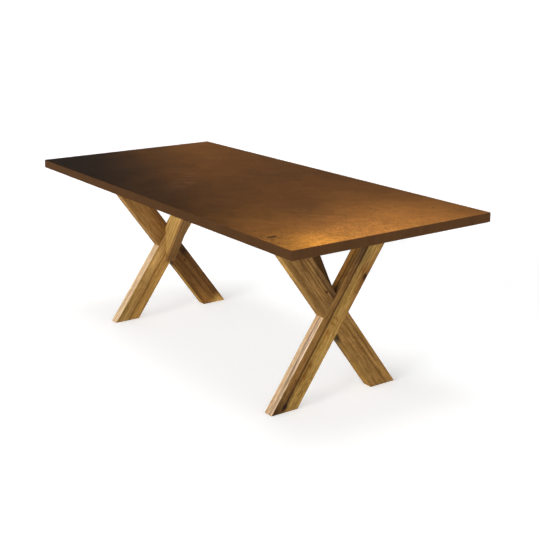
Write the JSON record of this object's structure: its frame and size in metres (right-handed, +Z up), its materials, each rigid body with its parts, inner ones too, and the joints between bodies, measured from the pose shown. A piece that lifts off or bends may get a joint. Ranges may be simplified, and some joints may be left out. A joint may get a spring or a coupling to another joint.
{
  "type": "sawbuck table",
  "caption": "Rectangular dining table with a patinated metal-faced top on crossed oak leg frames, each braced up to a rail under the top.",
  "frame": {"origin": "on the floor, under the middle of the table top", "axes": "+X along the table towards its front end, +Y across it to the right side, +Z up"},
  "size_m": [2, 0.9, 0.74],
  "materials": {
    "patina_sheet": "dark copper patina under satin lacquer",
    "edge_band": "dark brown patina, satin",
    "core_board": "raw fibreboard",
    "backing_sheet": "matt laminate",
    "oak": "oiled rustic oak",
    "dowel_wood": "plain turned hardwood",
    "steel": "zinc plated",
    "insert_metal": "plain machined",
    "glide": "matt"
  },
  "bodies": {
    "root": {"top_face_sheet": "patina_sheet", "top_core_board": "core_board", "top_backing_sheet": "backing_sheet", "edge_band_front": "edge_band", "edge_band_right": "edge_band", "edge_band_rear": "edge_band", "edge_band_left": "edge_band", "front_leg_left": "oak", "front_leg_right": "oak", "rear_leg_left": "oak", "rear_leg_right": "oak", "front_brace": "oak", "rear_brace": "oak", "front_cleat": "oak", "rear_cleat": "oak", "centre_rail": "oak", "crossing_dowels": "dowel_wood", "tenon_pegs": "dowel_wood", "top_bolts": "steel", "bolt_washers": "steel", "threaded_inserts": "insert_metal", "foot_glides": "glide"}
  },
  "joints": []
}
